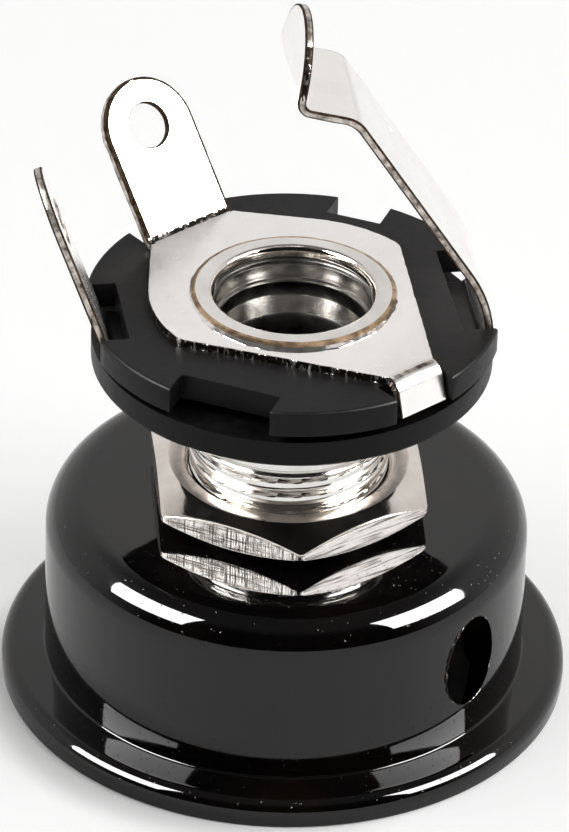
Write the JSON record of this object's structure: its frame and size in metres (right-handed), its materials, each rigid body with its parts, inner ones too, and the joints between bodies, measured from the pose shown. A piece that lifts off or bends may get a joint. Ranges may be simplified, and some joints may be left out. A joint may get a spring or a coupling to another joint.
{
  "type": "guitar jack plate",
  "caption": "Black round cup plate with a flange, holding a mono phone jack whose solder lugs and tip spring stand up from a stack of insulator discs.",
  "frame": {"origin": "middle of the flange's front face, on the jack's axis", "axes": "+Z along the jack's axis from the flange to the terminals, +X towards the spring arm's side of the stack, +Y away from the picture's viewer"},
  "size_m": [0.0274, 0.0274, 0.0362],
  "materials": {
    "cup": "gloss",
    "plated": "polished",
    "insulator": "matte",
    "contact": "satin"
  },
  "bodies": {
    "jack": {"jack_cup": "cup", "barrel": "plated", "rear_nut": "plated", "front_washer": "plated", "front_nut": "plated", "base_insulator": "insulator", "tip_contact": "contact", "top_insulator": "insulator", "sleeve_terminal": "contact"},
    "spring_arm": {"tip_spring_arm": "contact"}
  },
  "joints": [
    {"name": "tip_arm_flex", "type": "hinge", "parent": "jack", "child": "spring_arm", "pos_m": [0.00901, 0.00127, 0.01981], "axis": [-0.1392, 0.9903, 0], "range_deg": [0, 15], "stiffness_Nm_per_rad": 0.5}
  ]
}
